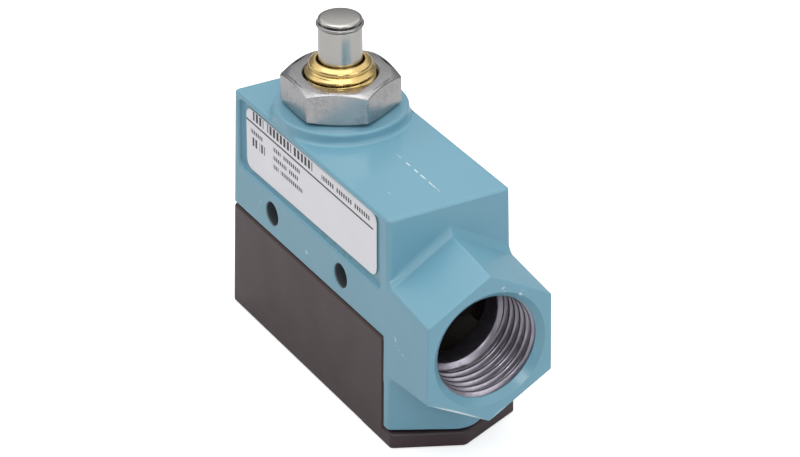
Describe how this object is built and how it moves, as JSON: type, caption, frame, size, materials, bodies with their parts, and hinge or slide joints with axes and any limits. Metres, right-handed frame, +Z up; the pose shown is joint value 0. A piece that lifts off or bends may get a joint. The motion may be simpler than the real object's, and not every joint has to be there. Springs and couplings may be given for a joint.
{
  "type": "limit switch",
  "caption": "Enclosed plunger limit switch: teal die-cast housing with hexagonal threaded conduit hub, dark moulded base cover, brass bushing with hex nut and sprung steel plunger.",
  "frame": {"origin": "on the flat underside of the base cover, midway between the two side mounting holes along X and at mid thickness along Y", "axes": "+X along the length towards the conduit hub, +Z up along the plunger, out of the top; the label recess is on the -Y side"},
  "size_m": [0.0717, 0.0248, 0.0633],
  "materials": {
    "housing_paint": "smooth semi-gloss teal paint on a die casting",
    "cover_phenolic": "moulded dark brown-black phenolic, satin",
    "switch_phenolic": "moulded black phenolic",
    "rubber": "black nitrile rubber",
    "label_vinyl": "white vinyl, satin",
    "brass": "turned, bright",
    "zinc_steel": "zinc-plated steel, satin",
    "stainless": "turned stainless steel",
    "spring_steel": "drawn spring wire",
    "spring_copper": "rolled copper alloy strip",
    "contact_silver": "silver contact",
    "pin_nylon": "moulded red nylon",
    "liner_fibre": "grey vulcanised fibre sheet",
    "ground_green": "green-dyed steel"
  },
  "bodies": {
    "root": {"housing": "housing_paint", "cover": "cover_phenolic", "cover_gasket": "rubber", "label_plate": "label_vinyl", "threaded_bushing": "brass", "lock_nut": "zinc_steel", "plunger_seal": "rubber", "return_spring": "spring_steel", "spring_seat": "zinc_steel", "switch_base": "switch_phenolic", "switch_lid": "switch_phenolic", "case_rivet_left": "brass", "case_rivet_right": "brass", "contact_nc": "contact_silver", "contact_no": "contact_silver", "blade_anchor": "brass", "terminal_com": "brass", "terminal_no": "brass", "terminal_nc": "brass", "terminal_screw_com": "zinc_steel", "terminal_screw_no": "zinc_steel", "terminal_screw_nc": "zinc_steel", "cup_washer_com": "brass", "cup_washer_no": "brass", "cup_washer_nc": "brass", "insulating_liner": "liner_fibre", "cover_screw": "zinc_steel", "ground_screw": "ground_green"},
    "plunger": {"plunger": "stainless", "plunger_ring": "spring_steel", "overtravel_spring": "spring_steel"},
    "driver": {"driver_pin": "stainless"},
    "pin": {"switch_pin": "pin_nylon"},
    "blade": {"snap_blade": "spring_copper", "moving_contact": "contact_silver"}
  },
  "joints": [
    {"name": "plunger_slide", "type": "slide", "parent": "root", "child": "plunger", "axis": [0, 0, -1], "range_m": [0, 0.0055], "stiffness_N_per_m": 500, "springref_m": -0.002, "deforming": ["return_spring", "overtravel_spring"]},
    {"name": "driver_slide", "type": "slide", "parent": "root", "child": "driver", "axis": [0, 0, -1], "range_m": [0, 0.0005]},
    {"name": "switch_pin_slide", "type": "slide", "parent": "root", "child": "pin", "axis": [0, 0, -1], "range_m": [0, 0.0005]},
    {"name": "blade_hinge", "type": "hinge", "parent": "root", "child": "blade", "pos_m": [-0.019, 0, 0.03165], "axis": [0, 1, 0], "range_deg": [0, 1.23]}
  ],
  "couplings": [
    {"joint": "driver_slide", "follows": "plunger_slide", "ratio": 0.0909},
    {"joint": "switch_pin_slide", "follows": "plunger_slide", "ratio": 0.0909},
    {"joint": "blade_hinge", "follows": "plunger_slide", "rad_per_m": 3.9}
  ]
}
